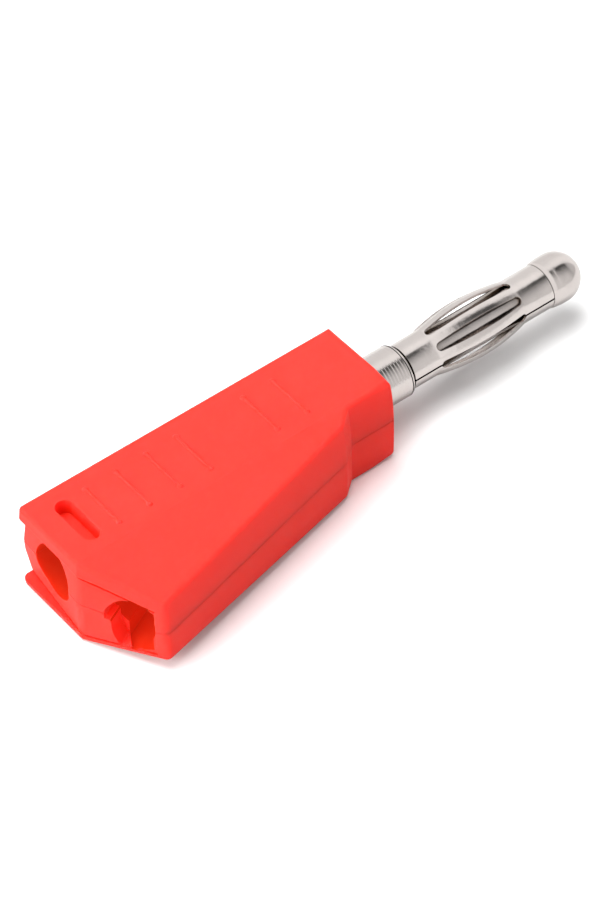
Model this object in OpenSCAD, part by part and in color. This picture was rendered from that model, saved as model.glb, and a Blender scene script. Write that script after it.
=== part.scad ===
// Stackable 4 mm banana plug: a two-shell moulded housing round a turned contact,
// with a slotted bunch spring on the pin, a socket in line with it and a cable entry beside that.
// Lengths in millimetres. The plug axis runs along X, the pin points to +X, +Y is the straight side.

/* [Housing] */
// Length of the housing along the plug axis, from the front face to the rear apex
body_len = 28.2; // [27.5:0.1:31]
// Width of the straight block that carries the contact, at the seam
body_w = 7.6; // [7.4:0.1:9]
// Height of the housing
body_h = 7.84; // [7.4:0.02:9]
// Length of the neck, from the front face to the shoulder
neck_len = 4.1; // [3.8:0.1:5]
// Run of the slanted shoulder along the plug axis
shoulder_run = 1.35; // [1:0.05:2]
// How far the shoulder steps out from the neck
shoulder_out = 1.15; // [0.9:0.05:1.5]
// Distance of the rear apex from the plug axis
apex_off = 3.5; // [3.4:0.1:4]
// Length of the cable entry's wall, from the rear apex to the outer corner
cable_wall = 7.0; // [6.8:0.1:8]
// Angle between the cable entry's wall and the socket's wall
rear_angle = 25.7; // [22:0.1:30]
// Height that each shell loses from the crease to the outer corner
wing_drop = 1.0; // [0.6:0.05:1.2]
// Draft of the outer sides over half the height
draft = 0.2; // [0.1:0.01:0.25]
// Radius of the two upright edges at the front
front_r = 0.55; // [0.5:0.05:1.2]
// Radius of the other upright edges
corner_r = 0.6; // [0.58:0.02:0.9]
// Radius of the edges round the top and bottom faces
edge_r = 0.28; // [0.1:0.02:0.3]

/* [Rear walls] */
// Thickness of the rim along the top and the bottom of the rear
rim_t = 1.15; // [0.9:0.05:1.3]
// Turn of the socket's wall, deeper at the straight side
wall_skew = 4.5; // [2:0.1:6]
// Slope of both rear walls from the seam to the rim
wall_slope = 7; // [4:0.5:9]
// Radius of the bend where the two rear walls meet
wall_round = 1.6; // [1:0.1:2]
// Width of the full-height post at the outer corner
post_w = 0.95; // [0.8:0.05:1.2]

/* [Grip] */
// Number of ribs behind the bare field
rear_ribs = 4; // [2:1:4]
// Number of ribs in front of the bare field
front_ribs = 2; // [1:1:2]
// Pitch of the ribs
rib_pitch = 2.65; // [2.4:0.05:2.65]
// Distance of the rearmost rib from the front face
rib_start = 23.25; // [23:0.05:23.6]
// Bare field between the two groups of ribs, rib to rib
rib_field = 6.0; // [5.4:0.1:6.2]
// Length of a rib between its end dots
rib_len = 4.0; // [3.4:0.1:4.6]
// Width of a rib
rib_w = 0.26; // [0.2:0.02:0.4]
// Height of a rib above the top face
rib_h = 0.12; // [0.08:0.01:0.2]
// Radius of the dot at each end of a rib
dot_r = 0.24; // [0.2:0.02:0.34]
// Width of the pocket in the top face
pocket_w = 1.45; // [1.2:0.05:1.6]
// Length of the pocket across the plug axis
pocket_len = 4.7; // [4:0.1:5]
// Depth of the pocket
pocket_depth = 1.15; // [0.8:0.05:1.3]
// Distance of the pocket's middle from the front face
pocket_at = 25.35; // [25.2:0.05:25.6]

/* [Pin] */
// Length of the pin in front of the housing
pin_reach = 20.4; // [19:0.1:21]
// Radius of the collar behind the spring
collar_r = 2.1; // [2.05:0.01:2.14]
// Length of the collar in front of the housing
collar_len = 3.35; // [2.8:0.05:3.6]
// Radius of the rod inside the spring
rod_r = 1.58; // [1.4:0.01:1.6]
// Radius of the ball nose
ball_r = 2.0; // [1.9:0.01:2.01]
// Length of the straight band round the ball nose
ball_band = 0.9; // [0.7:0.05:1.2]
// Radius of the pin's tail inside the barrel
tail_r = 1.5; // [1.2:0.05:1.6]

/* [Spring] */
// Number of slots in the bunch spring
slots = 8; // [6:1:10]
// Thickness of the spring's sheet
sheet = 0.18; // [0.14:0.01:0.22]
// Greatest radius of the bulge
bulge_r = 2.36; // [2.2:0.01:2.45]
// Length of the slots
slot_len = 8.05; // [7:0.05:8.4]
// Width of the bars between the slots
bar_w = 0.78; // [0.6:0.01:0.85]
// Width of the open seam where the rolled sheet meets
seam_gap = 0.17; // [0.1:0.01:0.25]
// Angle of the seam round the pin, from the straight side over the top
seam_turn = 176.5; // [170:0.5:180]

/* [Socket and terminal] */
// Radius of the socket's bore
socket_r = 2.02; // [2.01:0.01:2.05]
// Radius of the barrel
barrel_r = 2.9; // [2.8:0.02:2.95]
// Distance of the barrel's mouth from the rear of the housing
mouth_depth = 4.0; // [3.8:0.1:4.2]
// Radius of the ring that holds the barrel in the shells
ring_r = 3.2; // [3.1:0.02:3.25]
// Thickness of that ring
ring_t = 1.2; // [1:0.1:1.3]
// Radius of the clamp screw
screw_r = 1.25; // [1:0.05:1.3]
// Radius of the wire hole
wire_r = 0.95; // [0.7:0.05:1]
// Radius of the bore that holds the cable
cable_r = 1.85; // [1.6:0.01:1.9]
// Length of that bore behind the cable mouth
cable_grip = 3.6; // [3:0.1:4.5]
// Depth of the wider mouth in front of it
cable_mouth = 1.3; // [1:0.1:1.6]
// How far the mouth is wider in the upper shell, so that the lower one shows a lip
mouth_lip = 0.4; // [0.34:0.02:0.6]
// Thickness of the wall round the wiring space
side_wall = 0.85; // [0.8:0.05:1]

/* [Hidden] */
fine = 64;
soft = 32;

// Named clearances
barrel_gap = 0.05;
collar_gap = 0.08;
press_gap = 0.01;
seat_gap = 0.1;
rod_gap = 0.06;
spring_end_gap = 0.05;
thread_gap = 0.02;
stake_gap = 0.05;
seam_step = 0.01;
stack_gap = 0.08;
past = 1;

half_h = body_h / 2;
half_w = body_w / 2;

// Plan of the housing at the seam
front_left = [0, half_w];
front_right = [0, -half_w];
neck_end = [-neck_len, -half_w];
shoulder = [-neck_len - shoulder_run, -half_w - shoulder_out];
rear_left = [-body_len, half_w];
apex = [-body_len, -apex_off];
outer = apex + cable_wall * [sin(rear_angle), -cos(rear_angle)];
neck_inner = [-neck_len, 0];
rear_inner = [-body_len + past, 0];

function unit(v) = v / norm(v);
// Centre of a circle of radius r that touches both sides of the corner p between a and b
function inset(p, a, b, r) =
    let (u = unit(a - p), v = unit(b - p), w = unit(u + v))
    p + w * r / abs(u.x * w.y - u.y * w.x);
// Outer face of the flank at distance x behind the front face
flank_rise = (shoulder.y - outer.y) / (shoulder.x - outer.x);
function flank_y(x) = shoulder.y + (x - shoulder.x) * flank_rise;

neck_mid = inset(neck_end, neck_inner, shoulder, corner_r);
shoulder_mid = inset(shoulder, neck_end, outer, corner_r);
outer_mid = inset(outer, shoulder, apex, corner_r);
low_y = outer_mid.y - corner_r;

// The origin is the middle of the underside of the whole plug
home = [(body_len - pin_reach) / 2, -(half_w + low_y) / 2, half_h];

// Barrel and terminal, measured from the front face
barrel_front = -1.9;
barrel_back = -body_len + mouth_depth;
barrel_len = barrel_front - barrel_back;
ring_front = barrel_front - 0.9;
ring_flat = barrel_r + 0.05;
drill_angle = 118;
nose_gap = 0.4;
bore_end = pin_reach - body_len + nose_gap;
drill_depth = socket_r / tan(drill_angle / 2);
bore_len = bore_end - drill_depth - barrel_back;
web = 0.35;
screw_at = bore_end + web + screw_r;
tail_seat = screw_at + screw_r + web;
screw_len = 2.0;
screw_top = sqrt(pow(barrel_r, 2) - pow(screw_r, 2)) - 0.03;
screw_tip = screw_top - screw_len;
slot_w = 0.45;
slot_depth = 0.6;
lead_in = 0.3;
guide_r = collar_r + stack_gap;

// Cable entry, in a frame whose X runs into the housing along the cable
cable_at = cable_wall - post_w - cable_r;
mouth_top = 1.55;
mouth_low = 1.95;
space_h = half_h - wing_drop - 0.75;

// Stakes that centre the shells, four of them in the lower shell
stake_r = 0.4;
stake_h = 1.1;
stake_in = 0.9;
stakes = [
    [barrel_front / 2, half_w - stake_in],
    [barrel_front / 2, -half_w + stake_in],
    [barrel_back - mouth_depth / 2.6, half_w - stake_in],
    [barrel_back - mouth_depth / 2, -apex_off + 0.2]
];

shell_red = "#e53229";
nickel = "#b9b4ad";
brass_nickel = "#b3ada3";
steel = "#8f9297";

module place() {
    translate(home) children();
}

// A round upright edge with draft and a rounded top, standing on the seam
module edge_post(p, r, top) {
    tip = r - draft - edge_r;
    translate([p.x, p.y, 0])
        rotate_extrude($fn = soft)
            polygon(concat(
                [[0, 0], [r, 0]],
                [for (a = [0 : 22.5 : 90]) [tip + edge_r * cos(a), top - edge_r + edge_r * sin(a)]],
                [[0, top]]
            ));
}

// The straight block round the contact
module block() {
    hull() {
        edge_post(inset(front_left, rear_left, front_right, front_r), front_r, half_h);
        edge_post(inset(front_right, front_left, apex, front_r), front_r, half_h);
        edge_post(inset(apex, front_right, rear_left, corner_r), corner_r, half_h);
        edge_post(inset(rear_left, apex, front_left, corner_r), corner_r, half_h);
    }
}

// The wing beside it, which slopes down to the outer corner
module wing() {
    hull() {
        edge_post(neck_mid, corner_r, half_h);
        edge_post(shoulder_mid, corner_r, half_h - wing_drop * (neck_mid.y - shoulder_mid.y) / (neck_mid.y - outer_mid.y));
        edge_post(outer_mid, corner_r, half_h - wing_drop);
        edge_post(inset(apex, outer, rear_left, corner_r), corner_r, half_h);
        edge_post([-neck_len - corner_r, 0], corner_r, half_h);
        edge_post(rear_inner, corner_r, half_h);
    }
}

// What is cut away behind the rear walls, between the rim and the seam
module rear_recess() {
    rim_low = half_h - rim_t;
    run = cable_wall - post_w;
    along = [sin(wall_skew), cos(wall_skew)];
    aside = [sin(rear_angle), -cos(rear_angle)];
    bend = inset(apex, apex + along, apex + aside, wall_round);
    reach = wall_round / tan((180 - rear_angle - wall_skew) / 2);
    translate([apex.x, apex.y, 0]) {
        rotate([0, 0, -wall_skew])
            rotate([0, wall_slope, 0])
                translate([-3 * past, 0, -past])
                    cube([3 * past, body_w + past, rim_low + past]);
        rotate([0, 0, rear_angle])
            rotate([0, wall_slope - 90, 0])
                linear_extrude(height = 3 * past)
                    polygon([
                        [-past, past], [rim_low, past], [rim_low, 0],
                        [rim_low - run * wing_drop / cable_wall, -run], [-past, -run]
                    ]);
    }
    difference() {
        linear_extrude(height = rim_low)
            polygon([bend, apex + reach * along, [apex.x - past, apex.y], apex + reach * aside]);
        translate([bend.x, bend.y, -past])
            cylinder(
                r1 = wall_round - seam_step + past * tan(wall_slope),
                r2 = wall_round - seam_step - (rim_low + past) * tan(wall_slope),
                h = rim_low + 2 * past, $fn = fine
            );
    }
}

module cable_frame() {
    at = apex + cable_at * [sin(rear_angle), -cos(rear_angle)];
    translate([at.x, at.y, 0]) rotate([0, 0, rear_angle]) children();
}

// Bore that holds the cable
module cable_bore() {
    cable_frame()
        translate([-3 * past, 0, 0])
            rotate([0, 90, 0])
                cylinder(r = cable_r, h = 3 * past + cable_mouth + cable_grip, $fn = fine);
}

// Wider mouth of that bore in the upper shell, square on the side of the post
module upper_mouth() {
    cable_frame() {
        translate([-3 * past, mouth_lip / 2, 0])
            rotate([0, 90, 0])
                cylinder(r = cable_r + mouth_lip / 2, h = 3 * past + cable_mouth, $fn = fine);
        translate([-3 * past, -cable_r, -past])
            cube([3 * past + cable_mouth, cable_r, mouth_top + past]);
    }
}

// Square corner of the mouth in the lower shell
module lower_mouth() {
    cable_frame()
        translate([-3 * past, -cable_r, -mouth_low])
            cube([3 * past + cable_mouth, cable_r, mouth_low + past]);
}

// Space beside the barrel where the wire runs to the terminal
module wire_space() {
    back = barrel_back + 1.8;
    turn = back + 5;
    front = screw_at + screw_r;
    translate([0, 0, -space_h])
        linear_extrude(height = 2 * space_h)
            polygon([
                [front, -1], [front, flank_y(front) + side_wall],
                [turn, flank_y(turn) + side_wall], [back, flank_y(turn) + side_wall], [back, -1]
            ]);
}

// Everything the contact needs inside the two shells
module contact_space() {
    translate([barrel_front - barrel_gap, 0, 0])
        rotate([0, 90, 0])
            cylinder(r = collar_r + collar_gap, h = -barrel_front + barrel_gap + past, $fn = fine);
    translate([barrel_back - barrel_gap, 0, 0])
        rotate([0, 90, 0])
            cylinder(r = barrel_r + barrel_gap, h = barrel_len + 2 * barrel_gap, $fn = fine);
    ring(barrel_gap);
    translate([-body_len - past, 0, 0])
        rotate([0, 90, 0])
            cylinder(r = guide_r, h = mouth_depth + past, $fn = fine);
}

// Ring with two flats that keeps the barrel from turning and sliding
module ring(gap) {
    intersection() {
        translate([ring_front - ring_t - gap, 0, 0])
            rotate([0, 90, 0])
                cylinder(r = ring_r + gap, h = ring_t + 2 * gap, $fn = fine);
        translate([ring_front - ring_t - past, -ring_r - past, -ring_flat - gap])
            cube([ring_t + 2 * past, 2 * ring_r + 2 * past, 2 * (ring_flat + gap)]);
    }
}

// One rib with a dot at each end
module rib() {
    translate([-rib_w / 2, -rib_len / 2, 0]) cube([rib_w, rib_len, rib_h + edge_r]);
    for (side = [-1, 1])
        translate([0, side * rib_len / 2, 0]) cylinder(r = dot_r, h = rib_h + edge_r, $fn = 24);
}

module ribs() {
    first = [for (i = [0 : rear_ribs - 1]) -rib_start + i * rib_pitch];
    second = -rib_start + (rear_ribs - 1) * rib_pitch + rib_field;
    for (x = concat(first, [for (i = [0 : front_ribs - 1]) second + i * rib_pitch]))
        translate([x, 0, half_h - edge_r]) rib();
}

// Blind pocket with round ends, across the plug axis
module pocket() {
    reach = (pocket_len - pocket_w) / 2;
    translate([-pocket_at, 0, half_h - pocket_depth]) {
        translate([-pocket_w / 2, -reach, 0]) cube([pocket_w, 2 * reach, pocket_depth + past]);
        for (side = [-1, 1])
            translate([0, side * reach, 0]) cylinder(r = pocket_w / 2, h = pocket_depth + past, $fn = fine);
    }
}

module stake_holes() {
    for (p = stakes)
        translate([p.x, p.y, -past])
            cylinder(r = stake_r + stake_gap, h = stake_h + stake_gap + past, $fn = soft);
}

module upper_shell() {
    color(shell_red)
        place()
            difference() {
                union() {
                    block();
                    wing();
                    ribs();
                }
                rear_recess();
                contact_space();
                wire_space();
                cable_bore();
                upper_mouth();
                pocket();
                stake_holes();
            }
}

module lower_shell() {
    color(shell_red)
        place() {
            difference() {
                mirror([0, 0, 1])
                    difference() {
                        union() {
                            block();
                            wing();
                        }
                        rear_recess();
                    }
                contact_space();
                wire_space();
                cable_bore();
                lower_mouth();
            }
            for (p = stakes)
                translate([p.x, p.y, -past]) cylinder(r = stake_r, h = stake_h + past, $fn = soft);
        }
}

// Turned pin: tail, collar, rod and ball nose in one piece
module plug_pin() {
    chamfer = 0.15;
    nose_mid = pin_reach - ball_r;
    band_back = nose_mid - ball_band;
    ball_back = band_back - 0.6;
    color(nickel)
        place()
            rotate([0, 90, 0])
                rotate_extrude($fn = fine)
                    polygon(concat(
                        [[0, tail_seat + seat_gap], [tail_r, tail_seat + seat_gap]],
                        [[tail_r, barrel_front], [collar_r, barrel_front]],
                        [[collar_r, collar_len - chamfer], [collar_r - chamfer, collar_len]],
                        [[rod_r, collar_len], [rod_r, ball_back], [rod_r + rod_gap + sheet, ball_back]],
                        [for (a = [0 : 15 : 90])
                            let (lift = ball_r - rod_r - rod_gap - sheet)
                            [ball_r - lift * (1 - sin(a)), ball_back + 0.6 * (1 - cos(a))]],
                        [for (a = [0 : 7.5 : 90]) [ball_r * cos(a), nose_mid + ball_r * sin(a)]]
                    ));
}

// Height of the spring's outer face above its ends, along the slots
end_r = rod_r + rod_gap + sheet;
spring_back = collar_len + spring_end_gap;
spring_front = pin_reach - ball_r - ball_band - 0.6 - spring_end_gap;
slot_mid = (spring_back + spring_front) / 2 - 0.1;
// The sheet starts to swell a little before the slots
bulge_over = 0.12;
function bulge(t) = (bulge_r - end_r) * pow(sin(180 * t), 0.85);

module spring_wall() {
    steps = 10;
    back = slot_mid - slot_len / 2 - bulge_over;
    rotate([0, 90, 0])
        rotate_extrude($fn = fine)
            polygon(concat(
                [[end_r - sheet, spring_back], [end_r, spring_back]],
                [for (i = [0 : steps]) [end_r + bulge(i / steps), back + (slot_len + 2 * bulge_over) * i / steps]],
                [[end_r, spring_front], [end_r - sheet, spring_front]],
                [for (i = [steps : -1 : 0]) [end_r - sheet + bulge(i / steps), back + (slot_len + 2 * bulge_over) * i / steps]]
            ));
}

// Space between two bars: it widens outwards, so that the bars stay equally wide
module slot_gap() {
    turn = 180 / slots;
    root = bar_w / 2 / sin(turn);
    reach = bulge_r + past;
    translate([slot_mid - slot_len / 2, 0, root])
        rotate([90, 0, 90])
            linear_extrude(height = slot_len)
                polygon([[0, 0], [reach * tan(turn), reach], [-reach * tan(turn), reach]]);
}

module contact_spring() {
    color(nickel)
        place()
            difference() {
                spring_wall();
                for (i = [0 : slots - 1])
                    rotate([seam_turn - 90 + i * 360 / slots, 0, 0]) slot_gap();
                rotate([seam_turn - 90, 0, 0])
                    translate([spring_back - past, -seam_gap / 2, 0])
                        cube([spring_front - spring_back + 2 * past, seam_gap, bulge_r + past]);
            }
}

// Turned barrel: socket bore at the back, seat for the pin's tail in front, terminal between
module socket_barrel() {
    color(brass_nickel)
        place()
            difference() {
                union() {
                    translate([barrel_back, 0, 0])
                        rotate([0, 90, 0])
                            cylinder(r = barrel_r, h = barrel_len, $fn = fine);
                    ring(0);
                }
                translate([barrel_back - past, 0, 0])
                    rotate([0, 90, 0])
                        cylinder(r = socket_r, h = bore_len + past, $fn = fine);
                translate([barrel_back + bore_len, 0, 0])
                    rotate([0, 90, 0])
                        cylinder(r1 = socket_r, r2 = 0, h = drill_depth, $fn = fine);
                translate([barrel_back - 0.01, 0, 0])
                    rotate([0, 90, 0])
                        cylinder(r1 = socket_r + lead_in, r2 = socket_r, h = lead_in, $fn = fine);
                translate([tail_seat, 0, 0])
                    rotate([0, 90, 0])
                        cylinder(r = tail_r + press_gap, h = barrel_front - tail_seat + past, $fn = fine);
                translate([screw_at, 0, 0]) {
                    translate([0, 0, screw_tip - 0.1])
                        cylinder(r = screw_r + thread_gap, h = barrel_r + past, $fn = fine);
                    rotate([90, 0, 0])
                        cylinder(r = wire_r, h = barrel_r + past, $fn = fine);
                    sphere(r = wire_r, $fn = fine);
                }
            }
}

// Slotted set screw that clamps the wire
module clamp_screw() {
    color(steel)
        place()
            translate([screw_at, 0, 0])
                difference() {
                    translate([0, 0, screw_tip]) cylinder(r = screw_r, h = screw_len, $fn = fine);
                    translate([-slot_w / 2, -screw_r - past, screw_top - slot_depth])
                        cube([slot_w, 2 * screw_r + 2 * past, slot_depth + past]);
                }
}

upper_shell();
lower_shell();
plug_pin();
contact_spring();
socket_barrel();
clamp_screw();
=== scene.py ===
import bpy, bmesh, math
from mathutils import Vector, Matrix


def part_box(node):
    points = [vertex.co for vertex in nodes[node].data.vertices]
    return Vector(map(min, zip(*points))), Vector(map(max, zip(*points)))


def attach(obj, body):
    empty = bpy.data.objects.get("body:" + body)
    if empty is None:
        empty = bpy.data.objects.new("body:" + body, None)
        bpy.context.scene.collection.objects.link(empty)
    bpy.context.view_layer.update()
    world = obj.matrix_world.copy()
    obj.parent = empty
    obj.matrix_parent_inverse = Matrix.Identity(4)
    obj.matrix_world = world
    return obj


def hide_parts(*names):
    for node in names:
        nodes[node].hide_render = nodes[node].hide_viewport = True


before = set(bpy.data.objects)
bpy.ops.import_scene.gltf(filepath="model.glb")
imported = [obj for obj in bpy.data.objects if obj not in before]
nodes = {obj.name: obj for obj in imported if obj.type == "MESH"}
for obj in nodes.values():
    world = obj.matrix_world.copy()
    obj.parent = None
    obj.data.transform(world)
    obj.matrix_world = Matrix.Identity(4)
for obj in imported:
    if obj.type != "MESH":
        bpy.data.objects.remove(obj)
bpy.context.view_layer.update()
mm = 0.001

# The plug is drawn in mm in its own frame: x = 0 at the housing's front face,
# the pin's axis at y = z = 0, and the seam of the two shells at z = 0.
pinLow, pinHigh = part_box("plug_pin")
shellLow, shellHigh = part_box("upper_shell")
plugHome = Vector((shellHigh[0], (pinLow[1] + pinHigh[1]) / 2, shellLow[2])) / mm
toMetres = Matrix.Scale(mm, 4) @ Matrix.Translation(plugHome)

# camera, turned and placed from the plug's own frame
camera = {
    "place": (-120.789, -154.745, 200.702),
    "right": (0.78375, -0.62052, -0.02627),
    "up": (0.46156, 0.55363, 0.69315),
    "ahead": (0.41557, 0.55538, -0.72032),
    "lens": 154.18,
    "shift": (-0.01013, -0.03116),
}
camData = bpy.data.cameras.new("photoCamera")
camData.sensor_width = 36
camData.lens = camera["lens"]
camData.shift_x, camData.shift_y = camera["shift"]
camData.clip_start, camData.clip_end = 0.01, 10
camObj = bpy.data.objects.new("photoCamera", camData)
bpy.context.scene.collection.objects.link(camObj)
turn = Matrix((camera["right"], camera["up"], -Vector(camera["ahead"]))).transposed().to_4x4()
camObj.matrix_world = Matrix.Translation((Vector(camera["place"]) + plugHome) * mm) @ turn
bpy.context.scene.camera = camObj
print("camera set")


# small helpers for shapes
def degSin(angle):
    return math.sin(math.radians(angle))


def degCos(angle):
    return math.cos(math.radians(angle))


def newObject(name, bm):
    bmesh.ops.recalc_face_normals(bm, faces=bm.faces)
    mesh = bpy.data.meshes.new(name)
    bm.to_mesh(mesh)
    bm.free()
    piece = bpy.data.objects.new(name, mesh)
    bpy.context.scene.collection.objects.link(piece)
    return piece


def skinRows(bm, rows):
    # joins equal rings of points one after the other
    count = len(rows[0])
    for low, high in zip(rows, rows[1:]):
        for i in range(count):
            j = (i + 1) % count
            bm.faces.new((low[i], low[j], high[j], high[i]))


def loftRings(name, rings, closed=False):
    # open lofts get a cap at both ends, closed ones run back to their first ring
    bm = bmesh.new()
    rows = [[bm.verts.new(p) for p in ring] for ring in rings]
    skinRows(bm, rows + rows[:1] if closed else rows)
    if not closed:
        bm.faces.new(rows[0])
        bm.faces.new(rows[-1])
    return newObject(name, bm)


def prism(name, outline, low, high):
    return loftRings(name, [[(x, y, z) for x, y in outline] for z in (low, high)])


def lathe(name, profile, steps=96, closed=False):
    # turns (x, radius) points about the pin's axis; the ends are capped unless the profile is closed
    rings = []
    for x, radius in profile:
        turnPoints = [2 * math.pi * i / steps for i in range(steps)]
        rings.append([(x, radius * math.cos(t), radius * math.sin(t)) for t in turnPoints])
    return loftRings(name, rings, closed)


# what is narrower (mm) or flatter (degrees) than this is joined: after a cut, and in the finished piece
cleaning = {"afterCut": 0.0003, "atEnd": 0.0005, "flat": 0.2}


def cleanMesh(mesh, distance, atEnd=False):
    bm = bmesh.new()
    bm.from_mesh(mesh)
    bmesh.ops.remove_doubles(bm, verts=bm.verts, dist=distance)
    bmesh.ops.dissolve_degenerate(bm, edges=bm.edges, dist=distance)
    if atEnd:
        bmesh.ops.dissolve_limit(bm, angle_limit=math.radians(cleaning["flat"]), verts=bm.verts, edges=bm.edges)
        bmesh.ops.recalc_face_normals(bm, faces=bm.faces)
    bm.to_mesh(mesh)
    bm.free()


def carve(piece, cutters, operation="DIFFERENCE"):
    # applies one exact boolean after another and removes the cutters
    for cutter in cutters:
        step = piece.modifiers.new("cut", "BOOLEAN")
        step.solver = "EXACT"
        step.material_mode = "TRANSFER" if cutter.data.materials else "INDEX"
        step.operation = operation
        step.object = cutter
        graph = bpy.context.evaluated_depsgraph_get()
        mesh = bpy.data.meshes.new_from_object(piece.evaluated_get(graph))
        piece.modifiers.clear()
        cleanMesh(mesh, cleaning["afterCut"])
        piece.data = mesh
        bpy.data.objects.remove(cutter)


def finishPiece(piece, material, node, sharpAngle=32):
    # cleans the mesh, sets its normals, brings it from mm to metres and hands it to the frame
    cleanMesh(piece.data, cleaning["atEnd"], atEnd=True)
    piece.data.transform(toMetres)
    piece.data.shade_smooth()
    piece.data.set_sharp_from_angle(angle=math.radians(sharpAngle))
    weighted = piece.modifiers.new("evenNormals", "WEIGHTED_NORMAL")
    weighted.keep_sharp = True
    if not piece.data.materials:
        piece.data.materials.append(material)
    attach(piece, "root")
    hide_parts(node)
    print("made", piece.name, len(piece.data.vertices), "points")


# small helpers for materials
def toLinear(code):
    parts = [int(code[i:i + 2], 16) / 255 for i in (1, 3, 5)]
    return [c / 12.92 if c < 0.04045 else ((c + 0.055) / 1.055) ** 2.4 for c in parts] + [1.0]


def addNode(tree, kind, settings=None, links=None):
    node = tree.nodes.new(kind)
    for key, value in (settings or {}).items():
        if isinstance(key, int) or key in node.inputs:
            node.inputs[key].default_value = value
        else:
            setattr(node, key, value)
    for key, source in (links or {}).items():
        tree.links.new(source, node.inputs[key])
    return node


def newMaterial(name):
    mat = bpy.data.materials.new(name)
    mat.use_nodes = True
    mat.node_tree.nodes.clear()
    return mat, mat.node_tree


def plugCoords(tree):
    # the plug's own frame in mm, from the object's coordinates
    coords = addNode(tree, "ShaderNodeTexCoord")
    away = addNode(tree, "ShaderNodeVectorMath", {"operation": "SUBTRACT", 1: tuple(plugHome * mm)},
                   {0: coords.outputs["Object"]})
    scaled = addNode(tree, "ShaderNodeVectorMath", {"operation": "SCALE", "Scale": 1 / mm}, {0: away.outputs[0]})
    return scaled.outputs[0]


def paintShadeInHollows(tree, colour, shadeColour, look):
    # paints shade: turns to the shade colour where little open room is within reach
    openness = addNode(tree, "ShaderNodeAmbientOcclusion",
                       {"samples": look["samples"], "Distance": look["shadeReach"] * mm})
    low, high = look["shadeRange"]
    share = addNode(tree, "ShaderNodeMapRange", {"From Min": low, "From Max": high}, {"Value": openness.outputs["AO"]})
    withShade = addNode(tree, "ShaderNodeMix", {"data_type": "RGBA", 6: toLinear(shadeColour)},
                     {"Factor": share.outputs[0], 7: colour})
    return withShade.outputs[2]


def bumpyNormal(tree, look, layers):
    # rounded edges with bumps over them, given as (height in mm, source)
    edges = addNode(tree, "ShaderNodeBevel", {"samples": look["edgeSamples"], "Radius": look["edgeRound"] * mm})
    normal = edges.outputs[0]
    for height, source in layers:
        bump = addNode(tree, "ShaderNodeBump", {"Distance": height * mm, "Strength": 1.0},
                       {"Height": source, "Normal": normal})
        normal = bump.outputs[0]
    return normal


def spreadRoughness(tree, middle, spread, source):
    return addNode(tree, "ShaderNodeMapRange", {"To Min": middle - spread, "To Max": middle + spread},
                   {"Value": source}).outputs[0]


# Moulded polyamide, dyed through: a satin skin that keeps the mould's fine spark-eroded grain,
# so highlights are broad and soft; holes glow saturated red, partly by light carried in the plastic, partly by painted
# shade and a painted glow.
redPlastic = {
    "body": "#F83F37", "flow": "#F33A32",
    "shadeColour": "#DE2404",          # painted shade in holes: light that comes out of them has crossed red walls
    "litFlareShadeColour": "#FC5040",     # a lighter painted shade in the flare of the mouth, which is shallow and painted as lit
    "insideShadeColour": "#AC2410",          # painted shade inside: a darker red for the inner rooms, where shade falls
    "paintedGlow": "#E72B12",       # painted glow, standing in for room light that reaches the inside across the walls
    "paintedGlowInside": 0.42, "paintedGlowFlare": 0.2,
    "shadeReach": 4.5, "shadeRange": (0.12, 0.48), "samples": 8,      # mm, then share of open room, for the painted shade
    "ior": 1.5, "specular": 0.04, "roughness": 0.42, "roughnessSpread": 0.07,
    "glowDepth": 1.6, "glowRadius": (1.0, 0.07, 0.04), "glow": 0.6,     # mm that red light travels inside
    "grainSize": 0.16,      # mm, drawn coarser than the mould's real grain of about 0.05 mm
    "grainHeight": 0.004,   # mm
    "sinkSize": 5.0, "sinkHeight": 0.03,    # mm, slow waves where the plastic shrank
    "edgeRound": 0.07, "edgeSamples": 6,    # mm, the round that every moulded edge has
}


def mouldedPolyamide(name, body, flow, shadeColour, paintedGlow=0.0):
    mat, tree = newMaterial(name)
    place = plugCoords(tree)
    sinks = addNode(tree, "ShaderNodeTexNoise", {"Scale": 1 / redPlastic["sinkSize"], "Detail": 3.0},
                    {"Vector": place})
    grain = addNode(tree, "ShaderNodeTexNoise", {"Scale": 1 / redPlastic["grainSize"], "Detail": 4.0},
                    {"Vector": place})
    colour = addNode(tree, "ShaderNodeMix", {"data_type": "RGBA", 6: toLinear(body), 7: toLinear(flow)},
                     {"Factor": sinks.outputs["Fac"]})
    # painted shade: the colour turns darker red in holes and recesses
    colourWithShade = paintShadeInHollows(tree, colour.outputs[2], shadeColour, redPlastic)
    gloss = spreadRoughness(tree, redPlastic["roughness"], redPlastic["roughnessSpread"], grain.outputs["Fac"])
    skin = bumpyNormal(tree, redPlastic, [(redPlastic["sinkHeight"], sinks.outputs["Fac"]),
                                          (redPlastic["grainHeight"], grain.outputs["Fac"])])
    # the emission is a painted glow
    settings = {
        "IOR": redPlastic["ior"], "Specular IOR Level": redPlastic["specular"],
        "Subsurface Weight": redPlastic["glow"], "Subsurface Radius": redPlastic["glowRadius"],
        "Subsurface Scale": redPlastic["glowDepth"] * mm,
        "Emission Color": toLinear(redPlastic["paintedGlow"]), "Emission Strength": paintedGlow,
    }
    shader = addNode(tree, "ShaderNodeBsdfPrincipled", settings,
                     {"Base Color": colourWithShade, "Roughness": gloss, "Normal": skin})
    addNode(tree, "ShaderNodeOutputMaterial", links={"Surface": shader.outputs[0]})
    return mat


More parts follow.
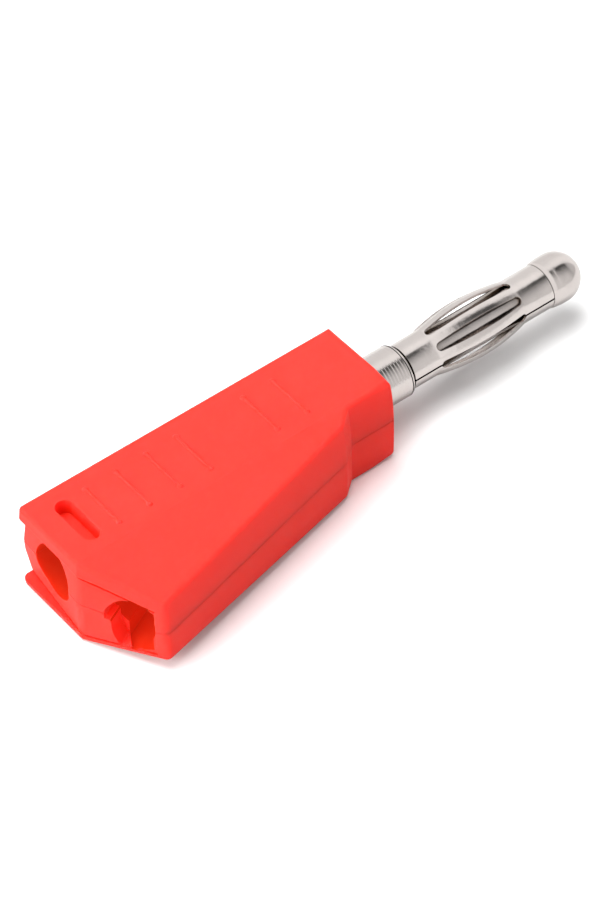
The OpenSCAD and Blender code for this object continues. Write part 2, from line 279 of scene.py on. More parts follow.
# Nickel plate on turned or rolled brass: bright and slightly warm, with fine marks left by the tool.
nickelPlate = {
    "turned": "#D7CFCB", "rolled": "#D9D1CD", "inside": "#B9AE9E", "cloudShade": 0.9,
    "roughness": 0.17, "roughnessSpread": 0.08, "insideRoughness": 0.25,
    "ringPitch": 0.09,      # mm, turning marks, drawn coarser than the real feed of 0.03 mm
    "ringHeight": 0.0022, "rolledHeight": 0.0012,   # mm
    "ringDrift": 0.12,      # per mm, how fast a turning mark changes on its way round
    "rolledDrift": 0.06,    # of its pitch, how fast a rolling mark changes on its way along
    "smearSize": 0.8,       # mm, cloudy patches in the plate
    "waveHeight": 0.02,     # mm, slow unevenness that frays the reflections
    "gap": "#6E5F50",       # painted shade in slots and grooves, where the plate is also dull and brown
    "shadeReach": 0.7, "shadeRange": (0.3, 0.85), "samples": 6,       # mm, then share of open room, for the painted shade
    "edgeRound": 0.03, "edgeSamples": 4,    # mm
}
zincedSteel = {"colour": "#A9ABB0", "roughness": 0.3}


def platedMetal(name, colour, marksAlong=False, markHeight=nickelPlate["ringHeight"],
                roughness=nickelPlate["roughness"]):
    # marksAlong: the marks run along the pin, as rolling leaves them, instead of round it
    mat, tree = newMaterial(name)
    place = plugCoords(tree)
    pitch, drift = nickelPlate["ringPitch"], nickelPlate["ringDrift"]
    squeeze = (nickelPlate["rolledDrift"] / pitch, 1 / pitch, 1 / pitch) if marksAlong else (1 / pitch, drift, drift)
    stretched = addNode(tree, "ShaderNodeVectorMath", {"operation": "MULTIPLY", 1: squeeze}, {0: place})
    marks = addNode(tree, "ShaderNodeTexNoise", {"Scale": 1.0, "Detail": 2.0}, {"Vector": stretched.outputs[0]})
    clouds = addNode(tree, "ShaderNodeTexNoise", {"Scale": 1 / nickelPlate["smearSize"], "Detail": 3.0},
                     {"Vector": place})
    shaded = [c * nickelPlate["cloudShade"] for c in toLinear(colour)[:3]] + [1.0]
    tint = addNode(tree, "ShaderNodeMix", {"data_type": "RGBA", 6: toLinear(colour), 7: shaded},
                   {"Factor": clouds.outputs["Fac"]})
    # painted shade: the plate turns dull brown in slots, grooves and at cut edges
    plateWithShade = paintShadeInHollows(tree, tint.outputs[2], nickelPlate["gap"], nickelPlate)
    gloss = spreadRoughness(tree, roughness, nickelPlate["roughnessSpread"], clouds.outputs["Fac"])
    skin = bumpyNormal(tree, nickelPlate, [(nickelPlate["waveHeight"], clouds.outputs["Fac"]),
                                           (markHeight, marks.outputs["Fac"])])
    shader = addNode(tree, "ShaderNodeBsdfPrincipled", {"Metallic": 1.0},
                     {"Base Color": plateWithShade, "Roughness": gloss, "Normal": skin})
    addNode(tree, "ShaderNodeOutputMaterial", links={"Surface": shader.outputs[0]})
    return mat


# lit and shaded copies of one plastic: the flare gets painted light, the inner rooms painted shade
bodyColours = (redPlastic["body"], redPlastic["flow"])
insideShadeColours = (redPlastic["insideShadeColour"], redPlastic["insideShadeColour"])
redSkin = mouldedPolyamide("mouldedRedPolyamide", *bodyColours, redPlastic["shadeColour"])
litFlareSkin = mouldedPolyamide("litFlareRedPolyamide", *bodyColours, redPlastic["litFlareShadeColour"], redPlastic["paintedGlowFlare"])
shadedInsideSkin = mouldedPolyamide("shadedInsideRedPolyamide", *insideShadeColours, redPlastic["insideShadeColour"], redPlastic["paintedGlowInside"])
turnedNickel = platedMetal("turnedNickelPlate", nickelPlate["turned"])
rolledNickel = platedMetal("rolledNickelPlate", nickelPlate["rolled"], True, nickelPlate["rolledHeight"])
barrelNickel = platedMetal("barrelNickelPlate", nickelPlate["inside"], roughness=nickelPlate["insideRoughness"])
screwSteel = platedMetal("turnedZincedSteel", zincedSteel["colour"], roughness=zincedSteel["roughness"])
print("materials ready")

# housing: two moulded shells that meet at the seam
housing = {
    "length": 28.2, "width": 7.6, "height": 7.84,
    "neckLength": 4.1, "shoulderRun": 1.35, "shoulderOut": 1.15,
    "apexOff": 3.5, "cableWall": 7.0, "rearAngle": 25.7, "seamChamfer": 0.02,
    "frontRadius": 0.35, "cornerRadius": 0.6, "neckRadius": 0.2, "leastRadius": 0.05,
    "edge": 0.3, "frontEdge": 0.6, "roundSteps": 6, "arcSteps": 6,
    "bowAt": (0.35, 0.6, 0.8),      # shares of the height where the bowed sides get a ring
}
# what differs between the halves; foot is how far the two rear walls have moved in at the rim,
# undercut how deep the groove there is and how high on the socket's and on the cable's side
upperHalf = {
    "outerEdge": 0.3, "draft": 0.2, "drop": 1.0, "rim": 1.02,
    "footSkew": 4.5, "foot": (0.361, 0.299), "undercut": (0.16, 0.76, 0.42),
}
lowerHalf = {
    "outerEdge": 0.55, "draft": 0.05, "drop": 0.85, "rim": 0.55,
    "footSkew": 7.1, "foot": (0.06, 0.17), "undercut": (0.13, 0.1, 0.1),
}
rear = {"wallSkew": 4.5, "bendRadius": 1.6, "postWidth": 0.95, "setBack": 0.02, "groove": 0.07, "change": 1.5}
mouth = {
    "radius": 1.85, "depth": 1.3, "grip": 3.6, "flareDepth": 1.5, "roomRadius": 2.15,
    # the outlines of the mouth, across the cable and up, for each shell
    "upper": [(-1.74, -0.5), (-1.73, 1.05), (-1.66, 1.4), (-1.16, 1.66), (-0.56, 1.85), (0.13, 1.88),
              (0.6, 1.8), (0.99, 1.63), (1.43, 1.31), (1.87, 0.77), (2.09, 0.41), (2.18, 0.0), (2.18, -0.5)],
    "lower": [(-1.72, 0.5), (-1.66, -0.5), (-1.55, -1.84), (-1.15, -2.05), (-0.61, -2.33), (-0.07, -2.57),
              (0.2, -2.68), (0.66, -2.88), (1.0, -2.98), (1.15, -2.93), (1.3, -2.7), (1.48, -2.34),
              (1.62, -1.91), (1.7, -1.46), (1.7, -0.55), (2.2, -0.5), (2.2, 0.5)],
    "litFrom": 0.3,      # the wall beyond this, on the socket's side, gets the lit copy of the plastic: painted light
    # the lower half is a little deeper behind the floor of the mouth: into the housing and across
    "sump": [(0.06, 0.15), (1.5, 1.1), (4.85, 1.1), (4.85, -1.6), (0.06, -1.6)],
    "sumpStep": 0.35, "sumpTop": -0.5,
}
# the rooms for the barrel, its ring and the wires
contact = {
    "barrelRadius": 2.9, "barrelFront": -1.9, "barrelBack": -24.2, "barrelGap": 0.05,
    "collarHole": 2.18, "guideHole": 2.18, "ringRadius": 3.2, "ringLength": 1.2, "ringFront": -2.8,
    "ringFlat": 2.95, "screwAt": -5.8, "screwRadius": 1.25, "sideWall": 0.85,
    "roomFloor": 0.75, "roomBack": 1.8, "roomBend": 5,
}
halfHeight = housing["height"] / 2
halfWidth = housing["width"] / 2
apex = Vector((-housing["length"], -housing["apexOff"]))
alongCable = Vector((degSin(housing["rearAngle"]), -degCos(housing["rearAngle"])))
intoCable = Vector((degCos(housing["rearAngle"]), degSin(housing["rearAngle"])))
outer = apex + housing["cableWall"] * alongCable
shoulder = Vector((-housing["neckLength"] - housing["shoulderRun"], -halfWidth - housing["shoulderOut"]))
# the outline seen from above, anticlockwise: place, radius, radius of the edge above it
plan = [
    (Vector((0, halfWidth)), housing["frontRadius"], housing["edge"]),
    (Vector((-housing["length"], halfWidth)), housing["cornerRadius"], housing["edge"]),
    (apex, housing["cornerRadius"], housing["edge"]),
    (outer, housing["cornerRadius"], housing["edge"]),
    (shoulder, housing["cornerRadius"], housing["edge"]),
    (Vector((-housing["neckLength"], -halfWidth)), -housing["neckRadius"], housing["edge"]),
    (Vector((0, -halfWidth)), housing["frontRadius"], housing["frontEdge"]),
]
# the softer edge at the front right corner dies out over these mm to both sides
blends = [(1.3, 0.5), (2.1, 0.0)]


def cornerArc(corner, before, after, radius, steps):
    # arc of that radius touching both sides of a corner
    u = (before - corner).normalized()
    v = (after - corner).normalized()
    half = u.angle(v) / 2
    centre = corner + (u + v).normalized() * radius / math.sin(half)
    start = corner + u * radius / math.tan(half) - centre
    end = corner + v * radius / math.tan(half) - centre
    sweep = start.angle_signed(end)
    points = []
    for i in range(steps + 1):
        points.append(centre + Matrix.Rotation(-sweep * i / steps, 2) @ start)
    return points


def insetCorner(index, inset):
    corner = plan[index][0]
    before = plan[index - 1][0]
    after = plan[(index + 1) % len(plan)][0]
    u = (corner - before).normalized()
    v = (after - corner).normalized()
    inU = Vector((-u.y, u.x))
    inV = Vector((-v.y, v.x))
    return corner + (inU + inV) * inset / (1 + inU.dot(inV))


def outlineAt(insetFor):
    # one ring of the outline as (point, edge radius) pairs; insetFor gives the inset for an edge radius
    ring = []
    for i, (corner, radius, edge) in enumerate(plan):
        inset = insetFor(edge)
        moved = insetCorner(i, inset)
        before = moved + plan[i - 1][0] - corner
        after = moved + plan[(i + 1) % len(plan)][0] - corner
        bend = -radius + inset if radius < 0 else max(radius - inset, housing["leastRadius"])
        arc = [(p, edge) for p in cornerArc(moved, before, after, bend, housing["arcSteps"])]
        if i == len(plan) - 1:
            arc = besideFront(before - moved, -1, insetFor) + arc + besideFront(after - moved, 1, insetFor)
        ring += arc
    return ring


def besideFront(way, turnSign, insetFor):
    # extra points on the straight sides next to the front right corner
    corner, _, edge = plan[-1]
    along = way.normalized()
    inwards = Vector((-along.y, along.x)) * turnSign
    points = []
    for distance, share in blends:
        softness = housing["edge"] + (edge - housing["edge"]) * share
        points.append((corner + along * distance + inwards * insetFor(softness), softness))
    return points if turnSign > 0 else points[::-1]


ringLength = housing["arcSteps"] + 1
creaseStart = 5 * ringLength + ringLength // 2      # middle of the neck's inner corner
creaseEnd = 2 * ringLength + ringLength // 2        # middle of the apex
capRing = outlineAt(lambda edge: edge + upperHalf["draft"])
creaseFrom, creaseTo = capRing[creaseStart][0], capRing[creaseEnd][0]
creaseRun = (creaseTo - creaseFrom).normalized()
towardsWing = Vector((-creaseRun.y, creaseRun.x))
wingWidth = (insetCorner(3, housing["edge"] + upperHalf["draft"]) - creaseFrom).dot(towardsWing)


def topAt(p, drop):
    # height of the top face above the seam: level over the block, falling over the wing
    return halfHeight - drop * max(0.0, (Vector((p[0], p[1])) - creaseFrom).dot(towardsWing)) / wingWidth


def shellBody(name, half):
    # sides bowed in towards the top, then a rounded edge with its own radius at the outer corner
    chamfer, draft, drop = housing["seamChamfer"], half["draft"], half["drop"]
    rings = [[(p.x, p.y, 0.0) for p, edge in outlineAt(lambda edge: chamfer)]]
    rings.append([(p.x, p.y, chamfer) for p, edge in outlineAt(lambda edge: 0.0)])
    corner, radius, edge = plan[3]
    plan[3] = (corner, radius, half["outerEdge"])
    for share in housing["bowAt"]:
        ring = outlineAt(lambda edge: draft * share ** 2)
        rings.append([(p.x, p.y, (topAt(p, drop) - edge) * share) for p, edge in ring])
    for step in range(housing["roundSteps"] + 1):
        a = 90 * step / housing["roundSteps"]
        ring = outlineAt(lambda edge: draft + edge * (1 - degCos(a)))
        rings.append([(p.x, p.y, topAt(p, drop) - edge * (1 - degSin(a))) for p, edge in ring])
    plan[3] = (corner, radius, edge)
    bm = bmesh.new()
    rows = [[bm.verts.new(p) for p in ring] for ring in rings]
    skinRows(bm, rows)
    bm.faces.new(rows[0])
    # the top is two flat faces that meet in the crease
    cap = rows[-1]
    bm.faces.new(cap[creaseEnd:creaseStart + 1])
    bm.faces.new(cap[creaseStart:] + cap[:creaseEnd + 1])
    body = newObject(name, bm)
    body.data.materials.append(redSkin)
    return body


def rearRecess(name, half):
    # what is open behind the two rear walls, between the rim and the seam
    run = housing["cableWall"] - rear["postWidth"]
    clear = 4

    def path(skew, depthSocket, depthCable):
        alongSocket = Vector((degSin(skew), degCos(skew)))
        intoSocket = Vector((degCos(skew), -degSin(skew)))
        start = apex + alongSocket * (housing["width"] + clear / 2) + intoSocket * depthSocket
        end = apex + alongCable * run + intoCable * depthCable
        # the corner where both moved walls meet
        depth = (depthSocket + depthCable) / 2
        middle = apex + (intoSocket + intoCable) * depth / (1 + intoSocket.dot(intoCable))
        bend = cornerArc(middle, start, end, rear["bendRadius"] - depth, 8)
        return [start] + bend + [end, end - intoCable * clear, start - intoSocket * clear]

    back = rear["setBack"]
    groove = rear["groove"]
    inSocket, inCable = half["foot"]
    undercut, heightSocket, heightCable = half["undercut"]
    below = path(rear["wallSkew"], back + groove, back + groove)
    atSeam = path(rear["wallSkew"], back, back)
    atFoot = path(half["footSkew"], inSocket, inCable)
    under = path(half["footSkew"], inSocket + undercut, inCable + undercut)
    rings = [[(p.x, p.y, z) for p in ring] for ring, z in ((below, -1.0), (below, 0.0), (atSeam, groove))]
    for ring, reach in ((atFoot, 1), (under, 1), (under, 0)):
        level = []
        for p in ring:
            # the groove's height changes from the socket's side to the cable's side of the apex
            share = min(max((p - apex).dot(alongCable) / rear["change"] + 0.4, 0.0), 1.0)
            gap = reach * (heightSocket + (heightCable - heightSocket) * share)
            level.append((p.x, p.y, topAt(p, half["drop"]) - half["rim"] - gap))
        rings.append(level)
    return loftRings(name, rings)


def rod(name, start, end, radius):
    return lathe(name, [(start, radius), (end, radius)], 64)


def cableFrame(piece):
    # moves a piece whose x runs into the housing along the cable to the cable entry
    at = apex + (housing["cableWall"] - rear["postWidth"] - mouth["radius"]) * alongCable
    turned = Matrix.Rotation(math.radians(housing["rearAngle"]), 4, "Z")
    piece.data.transform(Matrix.Translation((at.x, at.y, 0)) @ turned)
    return piece


def flankAt(x):
    share = (x - shoulder.x) / (outer.x - shoulder.x)
    return shoulder.y + (outer.y - shoulder.y) * share


def innerCutters():
    # the room for barrel, collar, ring, wire and cable inside both shells
    gap = contact["barrelGap"]
    back, front = contact["barrelBack"], contact["barrelFront"]
    cuts = [rod("barrelRoom", back - gap, front + gap, contact["barrelRadius"] + gap)]
    cuts.append(rod("collarHole", front, 1, contact["collarHole"]))
    cuts.append(rod("guideHole", -housing["length"] - 1, back, contact["guideHole"]))
    ringBack = contact["ringFront"] - contact["ringLength"]
    groove = rod("ringGroove", ringBack - gap, contact["ringFront"] + gap, contact["ringRadius"] + gap)
    flat = contact["ringFlat"] + gap
    flats = prism("ringFlats", [(-5, -4), (-5, 4), (-2, 4), (-2, -4)], -flat, flat)
    carve(groove, [flats], "INTERSECT")
    cuts.append(groove)
    start = contact["screwAt"] + contact["screwRadius"]
    end = back + contact["roomBack"]
    bend = end + contact["roomBend"]
    room = halfHeight - upperHalf["drop"] - contact["roomFloor"]
    nearSide, farSide = (flankAt(x) + contact["sideWall"] for x in (start, bend))
    floorPlan = [(start, -1), (start, nearSide), (bend, farSide), (end, farSide), (end, -1)]
    cuts.append(prism("wireRoom", floorPlan, -room, room))
    gripEnd = mouth["depth"] + mouth["grip"]
    cuts.append(cableFrame(rod("cableBore", -3, gripEnd, mouth["radius"])))
    cuts.append(cableFrame(rod("gripRoom", mouth["flareDepth"], gripEnd - 0.01, mouth["roomRadius"])))
    # the inner rooms get the shaded copy of the plastic: painted shade
    for cut in cuts:
        cut.data.materials.append(shadedInsideSkin)
    return cuts


def mouthCutter(name, outline):
    # the flared entry
    piece = loftRings(name, [[(x, y, z) for y, z in outline] for x in (-3, mouth["flareDepth"] + 0.01)])
    piece.data.materials.append(litFlareSkin)
    piece.data.materials.append(shadedInsideSkin)
    # faces on the socket's side get the lit copy (painted light), the rest the shaded copy (painted shade)
    for face in piece.data.polygons:
        face.material_index = int(face.center.y < mouth["litFrom"])
    return cableFrame(piece)


def mouthSump():
    # follows the floor of the lower mouth a step deeper
    edge, corner = mouth["lower"][2], mouth["lower"][8]
    slope = (corner[1] - edge[1]) / (corner[0] - edge[0])
    low = [(x, y, edge[1] + slope * (y - edge[0]) - mouth["sumpStep"]) for x, y in mouth["sump"]]
    piece = loftRings("mouthSump", [low, [(x, y, mouth["sumpTop"]) for x, y in mouth["sump"]]])
    # painted shade: the sump gets the shaded copy of the plastic
    piece.data.materials.append(shadedInsideSkin)
    return cableFrame(piece)


pocket = {
    "at": -25.45, "off": -0.12, "width": 1.4, "length": 4.5, "depth": 1.15, "draft": 0.16,
    "flare": 0.05, "above": 0.5, "steps": 32,
}


def gripPocket():
    # a slot with round ends that narrows downwards
    rings = []
    for z, grow in ((halfHeight - pocket["depth"], -pocket["draft"]), (halfHeight + pocket["above"], pocket["flare"])):
        radius = pocket["width"] / 2 + grow
        reach = (pocket["length"] - pocket["width"]) / 2
        ring = []
        for side in (0, 1):
            for i in range(pocket["steps"] + 1):
                a = 180 * side + 180 * i / pocket["steps"]
                middle = pocket["off"] + (reach, -reach)[side]
                ring.append((pocket["at"] + radius * degCos(a), middle + radius * degSin(a), z))
        rings.append(ring)
    return loftRings("gripPocket", rings)


ribs = {
    "first": -23.35, "off": -0.12, "pitch": 2.65, "rearCount": 4, "frontCount": 2, "field": 6.0,
    "length": 4.0, "width": 0.22, "height": 0.11, "dot": 0.23, "dotHeight": 0.12,
    "root": 0.15, "sunk": 0.005, "roundSteps": 8,
}


def gripRibs():
    # low round ribs with a dot at each end, each skinned over stations along its length
    bm = bmesh.new()
    last = ribs["first"] + (ribs["rearCount"] - 1) * ribs["pitch"]
    places = [ribs["first"] + i * ribs["pitch"] for i in range(ribs["rearCount"])]
    places += [last + ribs["field"] + i * ribs["pitch"] for i in range(ribs["frontCount"])]
    half, dot = ribs["length"] / 2, ribs["dot"]
    ends = [half - dot * 1.2] + [half + dot * degSin(a) for a in (-60, -40, -20, 0, 20, 40, 60, 75, 85)]
    stations = [-y for y in reversed(ends)] + ends
    for x in places:
        rows = []
        for y in stations:
            across = dot ** 2 - (abs(y) - half) ** 2
            dotHalf = math.sqrt(across) if across > 0 else 0.0
            barHalf = ribs["width"] / 2 if abs(y) < half else 0.0
            wide = max(dotHalf, barHalf)
            high = max(ribs["height"] if barHalf else 0.0, ribs["dotHeight"] * dotHalf / dot)
            points = [(x - wide, halfHeight - ribs["root"])]
            for i in range(ribs["roundSteps"] + 1):
                a = 180 - 180 * i / ribs["roundSteps"]
                points.append((x + wide * degCos(a), halfHeight - ribs["sunk"] + high * degSin(a)))
            points.append((x + wide, halfHeight - ribs["root"]))
            rows.append([bm.verts.new((px, y + ribs["off"], pz)) for px, pz in points])
        skinRows(bm, rows)
        bm.faces.new(rows[0])
        bm.faces.new(rows[-1])
    return newObject("gripRibs", bm)


stakes = {"radius": 0.4, "height": 1.1, "gap": 0.05, "inside": 0.9, "rearWall": 4.0, "besideApex": 0.2}
stakePlaces = [
    (contact["barrelFront"] / 2, halfWidth - stakes["inside"]),
    (contact["barrelFront"] / 2, -halfWidth + stakes["inside"]),
    (contact["barrelBack"] - stakes["rearWall"] / 2.6, halfWidth - stakes["inside"]),
    (contact["barrelBack"] - stakes["rearWall"] / 2, -housing["apexOff"] + stakes["besideApex"]),
]


def stakeAt(place, radius, low, high):
    ring = [(place[0] + radius * degCos(15 * i), place[1] + radius * degSin(15 * i)) for i in range(24)]
    return prism("stake", ring, low, high)


def upperShell():
    body = shellBody("housing_upper", upperHalf)
    carve(body, [gripRibs()], "UNION")
    cuts = [rearRecess("rearRecess", upperHalf)] + innerCutters()
    cuts += [mouthCutter("mouthUpper", mouth["upper"]), gripPocket()]
    gap = stakes["gap"]
    cuts += [stakeAt(p, stakes["radius"] + gap, -1, stakes["height"] + gap) for p in stakePlaces]
    carve(body, cuts)
    finishPiece(body, redSkin, "upper_shell")


def lowerShell():
    body = shellBody("housing_lower", lowerHalf)
    carve(body, [rearRecess("rearRecess", lowerHalf)])
    body.data.transform(Matrix.Diagonal((1, 1, -1, 1)))
    body.data.flip_normals()
    carve(body, innerCutters() + [mouthCutter("mouthLower", mouth["lower"]), mouthSump()])
    carve(body, [stakeAt(p, stakes["radius"], -1, stakes["height"]) for p in stakePlaces], "UNION")
    finishPiece(body, redSkin, "lower_shell")


upperShell()
lowerShell()
print("housing done")

# turned pin: tail, collar with its tool rings, rod and ball nose
pin = {
    "reach": 20.4, "tailRadius": 1.5, "tailEnd": -4.1, "tailChamfer": 0.1,
    "collarRadius": 2.1, "collarLength": 3.35, "seatChamfer": 0.05, "chamfer": 0.2,
    "rodRadius": 1.58, "rodRings": (6.0, 10.0, 14.0), "step": 0.001,
    "ballRadius": 2.0, "band": 0.9, "shoulder": 0.6, "crown": 0.05, "seatRadius": 1.82,
    "ringsFrom": 0.4, "ringsTo": 3.0, "ringPitch": 0.27, "ringDepth": 0.016,
}


def turnedPin():
    step, tailEnd, tailRadius = pin["step"], pin["tailEnd"], pin["tailRadius"]
    seat, collar = contact["barrelFront"], pin["collarRadius"]
    profile = [(tailEnd, 0.02), (tailEnd, tailRadius - pin["tailChamfer"]), (tailEnd + pin["tailChamfer"], tailRadius)]
    profile += [(seat - step, tailRadius), (seat, collar - pin["seatChamfer"])]
    profile += [(seat + pin["seatChamfer"], collar), (pin["ringsFrom"], collar)]
    x = pin["ringsFrom"]
    while x < pin["ringsTo"]:
        for share in (0.15, 0.3, 0.5, 0.7, 0.85, 1.0):
            dip = pin["ringDepth"] * math.sin(math.pi * share) ** 2
            profile.append((x + share * pin["ringPitch"], collar - dip))
        x += pin["ringPitch"]
    end, chamfer = pin["collarLength"], pin["chamfer"]
    profile += [(end - chamfer * 1.6, collar), (end - chamfer * 0.5, collar - chamfer * 0.35), (end, collar - chamfer)]
    profile += [(x, pin["rodRadius"]) for x in (end + step, *pin["rodRings"])]
    noseMid = pin["reach"] - pin["ballRadius"]
    ballBack = noseMid - pin["band"] - pin["shoulder"]
    profile += [(ballBack, pin["rodRadius"]), (ballBack + step, pin["seatRadius"])]
    lift = pin["ballRadius"] - pin["seatRadius"]
    for a in range(15, 76, 15):
        low = pin["crown"] + lift * (1 - degSin(a))
        profile.append((ballBack + pin["shoulder"] * (1 - degCos(a)), pin["ballRadius"] - low))
    # the band's rear half is crowned
    for i in range(9):
        share = i / 8 - 1
        low = pin["crown"] * (2 * share + 1) ** 2 * (share < -0.5)
        profile.append((noseMid + share * pin["band"], pin["ballRadius"] - low))
    for i in range(1, 25):
        a = 90 * i / 24
        profile.append((noseMid + pin["ballRadius"] * degSin(a), max(pin["ballRadius"] * degCos(a), 0.01)))
    piece = lathe("pin_turned", profile, 128)
    finishPiece(piece, turnedNickel, "plug_pin", 25)


turnedPin()

# bunch spring: a rolled sheet with eight slots, swollen in the middle
spring = {
    "start": 3.52, "end": 16.85, "endRadius": 1.82, "sheet": 0.18,
    "bulgeRadius": 2.36, "swell": 0.85, "middle": 10.025, "over": 0.12,
    "slots": 8, "slotLength": 8.05, "barWidth": 0.78, "seam": 0.17, "seamTurn": 176.5,
}


def turnRound(piece, angle):
    # turns a cutter about the pin, from the spring's seam on
    piece.data.transform(Matrix.Rotation(math.radians(spring["seamTurn"] - 90 + angle), 4, "X"))
    return piece


def bunchSpring():
    middle = spring["middle"]
    back = middle - spring["slotLength"] / 2 - spring["over"]
    length = spring["slotLength"] + 2 * spring["over"]
    outerLine = [(spring["start"], spring["endRadius"])]
    steps = 40
    for i in range(steps + 1):
        swell = (spring["bulgeRadius"] - spring["endRadius"]) * max(degSin(180 * i / steps), 0.0) ** spring["swell"]
        outerLine.append((back + length * i / steps, spring["endRadius"] + swell))
    outerLine.append((spring["end"], spring["endRadius"]))
    innerLine = [(x, r - spring["sheet"]) for x, r in reversed(outerLine)]
    piece = lathe("spring_rolled", outerLine + innerLine, 160, closed=True)
    # each slot widens outwards as a wedge, so that the bars keep one width over the bulge
    half = 180 / spring["slots"]
    root = spring["barWidth"] / 2 / degSin(half)
    cuts = []
    for k in range(spring["slots"]):
        rings = []
        for radius in (root + 0.08, spring["bulgeRadius"] + 0.7):
            wide = (radius - root) * math.tan(math.radians(half))
            reach = spring["slotLength"] / 2 - wide
            ring = []
            for side in (1, -1):
                for a in range(0, 181, 15):
                    ring.append((middle + side * (reach + wide * degSin(a)), side * wide * degCos(a), radius))
            rings.append(ring)
        cuts.append(turnRound(loftRings("slot", rings), k * 360 / spring["slots"]))
    gap, start, end = spring["seam"] / 2, spring["start"] - 1, spring["end"] + 1
    seam = prism("seam", [(start, -gap), (end, -gap), (end, gap), (start, gap)], 0.5, 3.5)
    cuts.append(turnRound(seam, 0))
    carve(piece, cuts)
    finishPiece(piece, rolledNickel, "contact_spring", 25)


bunchSpring()
for name, material in (("socket_barrel", barrelNickel), ("clamp_screw", screwSteel)):
    nodes[name].data.materials.clear()
    nodes[name].data.materials.append(material)
print("metal parts done")

# floor and light: a pale table in a light tent, with big softboxes above and at the plug's rear,
# and a weak fill in front
studio = {
    "floorSize": 0.42, "floorColour": "#F8F8F8", "tableColour": "#CBCBCB", "mirrored": 0.15,
    "toothScale": 900.0, "toothHeight": 0.02,       # per m, mm
    "ambient": 0.46, "tentLevel": 1.2,
    "boxes": {
        "overheadSoftbox": {"power": 3.7, "size": 0.42, "place": (-0.08, 0.12, 0.52)},
        "sideSoftbox": {"power": 3.2, "size": 0.4, "place": (-0.5, 0.03, 0.2)},
        "frontFill": {"power": 0.55, "size": 0.3, "place": (0.5, -0.2, 0.2)},
    },
    # what shiny parts see of the tent, by how far a direction leans to the left side (y from -1 to 1):
    # the dark gap over the plug is the open top where the camera's boom stands
    "tent": [(-1.0, 0.74), (-0.75, 0.66), (-0.5, 0.43), (-0.3, 0.18), (-0.2, 0.07), (-0.06, 0.07),
             (0.02, 0.85), (0.12, 1.0), (0.35, 1.0), (0.6, 0.86), (1.0, 0.8)],
    # the gap runs only over the front of the plug, and closes slowly ahead of it (x from -1 to 1)
    "gapAlong": [(-1.0, 0.95), (0.15, 0.95), (0.3, 0.0), (0.6, 0.0), (0.85, 0.55), (1.0, 0.6)],
}
white = (1, 1, 1, 1)


def larger(tree, first, second):
    return addNode(tree, "ShaderNodeMath", {"operation": "MAXIMUM"}, {0: first, 1: second}).outputs[0]


def paperFloor(name):
    # matt paper with a faint tooth
    mat, tree = newMaterial(name)
    coords = addNode(tree, "ShaderNodeTexCoord")
    tooth = addNode(tree, "ShaderNodeTexNoise", {"Scale": studio["toothScale"], "Detail": 2.0},
                    {"Vector": coords.outputs["Object"]})
    skin = addNode(tree, "ShaderNodeBump", {"Distance": studio["toothHeight"] * mm, "Strength": 0.3},
                   {"Height": tooth.outputs["Fac"]})
    # white to the camera and in reflections, grey as a table for the light that it bounces back
    rays = addNode(tree, "ShaderNodeLightPath")
    mirrored = addNode(tree, "ShaderNodeMath", {"operation": "MULTIPLY", 1: studio["mirrored"]},
                       {0: rays.outputs["Is Glossy Ray"]})
    seen = larger(tree, rays.outputs["Is Camera Ray"], mirrored.outputs[0])
    seen = larger(tree, seen, rays.outputs["Is Transmission Ray"])
    ends = {6: toLinear(studio["tableColour"]), 7: toLinear(studio["floorColour"])}
    colour = addNode(tree, "ShaderNodeMix", {"data_type": "RGBA", **ends}, {"Factor": seen})
    shader = addNode(tree, "ShaderNodeBsdfPrincipled", {"Roughness": 0.9, "Specular IOR Level": 0.2},
                     {"Base Color": colour.outputs[2], "Normal": skin.outputs[0]})
    addNode(tree, "ShaderNodeOutputMaterial", links={"Surface": shader.outputs[0]})
    return mat


size = studio["floorSize"]
floorMesh = bpy.data.meshes.new("floor")
corners = [(-size, -size, 0), (size, -size, 0), (size, size, 0), (-size, size, 0)]
floorMesh.from_pydata(corners, [], [(0, 1, 2, 3)])
floor = bpy.data.objects.new("floor", floorMesh)
bpy.context.scene.collection.objects.link(floor)
floor.data.materials.append(paperFloor("palePaper"))

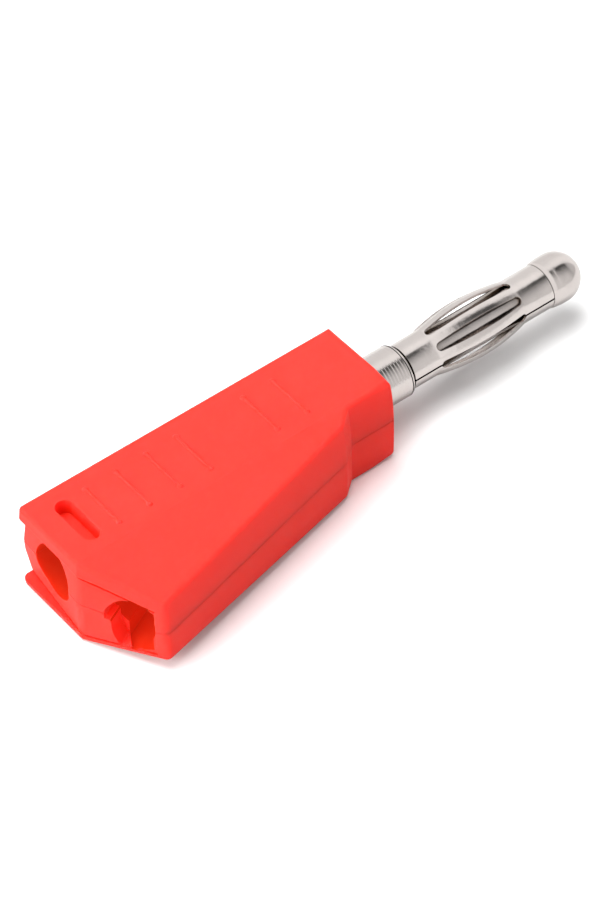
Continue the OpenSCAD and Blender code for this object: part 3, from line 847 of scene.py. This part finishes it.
world = bpy.data.worlds.new("lightTent")
bpy.context.scene.world = world
world.use_nodes = True
sky = world.node_tree
sky.nodes.clear()
rays = addNode(sky, "ShaderNodeLightPath")
facing = addNode(sky, "ShaderNodeTexCoord")
parts = addNode(sky, "ShaderNodeSeparateXYZ", links={0: facing.outputs["Generated"]})
levels = []
for axis, stopList in (("Y", studio["tent"]), ("X", studio["gapAlong"])):
    along = addNode(sky, "ShaderNodeMapRange", {"From Min": -1.0, "From Max": 1.0},
                    {"Value": parts.outputs[axis]})
    ramp = addNode(sky, "ShaderNodeValToRGB", links={0: along.outputs[0]})
    stops = ramp.color_ramp.elements
    while len(stops) < len(stopList):
        stops.new(0.5)
    for stop, (place, level) in zip(stops, stopList):
        stop.position = (place + 1) / 2
        stop.color = (level, level, level, 1)
    levels.append(ramp.outputs[0])
brighter = larger(sky, *levels)
ambient = addNode(sky, "ShaderNodeBackground", {"Strength": studio["ambient"], "Color": white})
tent = addNode(sky, "ShaderNodeBackground", {"Strength": studio["tentLevel"]}, {"Color": brighter})
backdrop = addNode(sky, "ShaderNodeBackground", {"Strength": 1.0, "Color": white})
shiny = addNode(sky, "ShaderNodeMixShader",
                links={0: rays.outputs["Is Glossy Ray"], 1: ambient.outputs[0], 2: tent.outputs[0]})
seen = larger(sky, rays.outputs["Is Camera Ray"], rays.outputs["Is Transmission Ray"])
mixed = addNode(sky, "ShaderNodeMixShader", links={0: seen, 1: shiny.outputs[0], 2: backdrop.outputs[0]})
addNode(sky, "ShaderNodeOutputWorld", links={"Surface": mixed.outputs[0]})

for name, box in studio["boxes"].items():
    light = bpy.data.lights.new(name, "AREA")
    light.energy = box["power"]
    light.size = box["size"]
    lamp = bpy.data.objects.new(name, light)
    lamp.location = box["place"]
    lamp.rotation_euler = (-Vector(box["place"])).to_track_quat("-Z", "Y").to_euler()
    lamp.visible_glossy = False
    bpy.context.scene.collection.objects.link(lamp)
bpy.context.scene.view_settings.view_transform = "Standard"
print("studio ready")
